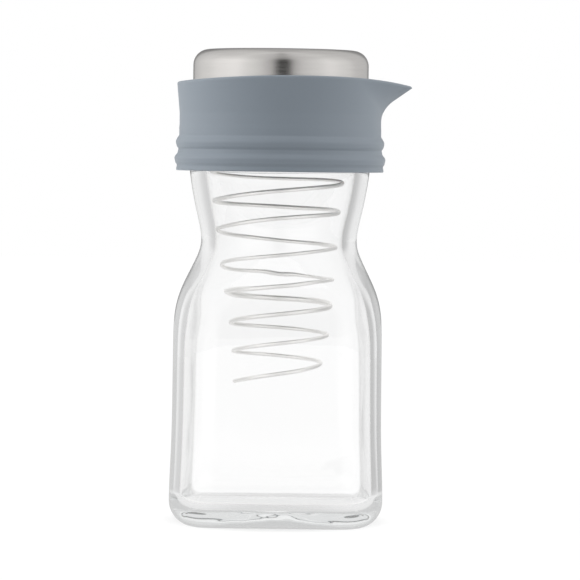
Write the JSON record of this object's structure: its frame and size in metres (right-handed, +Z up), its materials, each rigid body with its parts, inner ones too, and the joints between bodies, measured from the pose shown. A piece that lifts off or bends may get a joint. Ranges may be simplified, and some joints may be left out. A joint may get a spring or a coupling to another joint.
{
  "type": "salad dressing shaker bottle",
  "caption": "Square clear glass shaker bottle with a soft pouring collar, a threaded steel cap and a tapered steel mixing coil in its neck.",
  "frame": {"origin": "centre of the bottle's resting ring, on the plane that it stands on", "axes": "+Z up along the bottle's axis towards the cap, +X towards the pouring spout's tip, -Y the front"},
  "size_m": [0.0875, 0.078, 0.1742],
  "materials": {
    "clear_glass": "clear, polished",
    "insert_plastic": "natural translucent plastic, satin",
    "soft_collar": "matte blue-grey silicone",
    "seal_rubber": "matte silicone",
    "coil_wire": "drawn stainless wire, bright",
    "brushed_cap": "satin stainless steel"
  },
  "bodies": {
    "bottle": {"glass_bottle": "clear_glass"},
    "mouth_ring": {"coil_ring": "insert_plastic", "collar_gasket": "seal_rubber"},
    "collar": {"collar_insert": "insert_plastic", "pour_collar": "soft_collar"},
    "coil": {"mixing_coil": "coil_wire"},
    "seal_disc": {"cap_seal": "seal_rubber"},
    "cap": {"cap_shell": "brushed_cap", "cap_liner": "insert_plastic"}
  },
  "joints": [
    {"name": "collar_rise", "type": "slide", "parent": "bottle", "child": "mouth_ring", "axis": [0, 0, 1], "range_m": [0, 0.012]},
    {"name": "collar_turn", "type": "hinge", "parent": "mouth_ring", "child": "collar", "pos_m": [0, 0, 0.14], "axis": [0, 0, 1], "range_deg": [0, 360]},
    {"name": "cap_rise", "type": "slide", "parent": "collar", "child": "seal_disc", "axis": [0, 0, 1], "range_m": [0, 0.009]},
    {"name": "cap_turn", "type": "hinge", "parent": "seal_disc", "child": "cap", "pos_m": [0, 0, 0.165], "axis": [0, 0, 1], "range_deg": [0, 360]},
    {"name": "coil_bounce", "type": "slide", "parent": "mouth_ring", "child": "coil", "axis": [0, 0, 1], "range_m": [0, 0.012], "stiffness_N_per_m": 49, "deforming": ["mixing_coil"]}
  ],
  "couplings": [
    {"joint": "collar_turn", "follows": "collar_rise", "rad_per_m": 523.6},
    {"joint": "cap_turn", "follows": "cap_rise", "rad_per_m": 698.13}
  ]
}
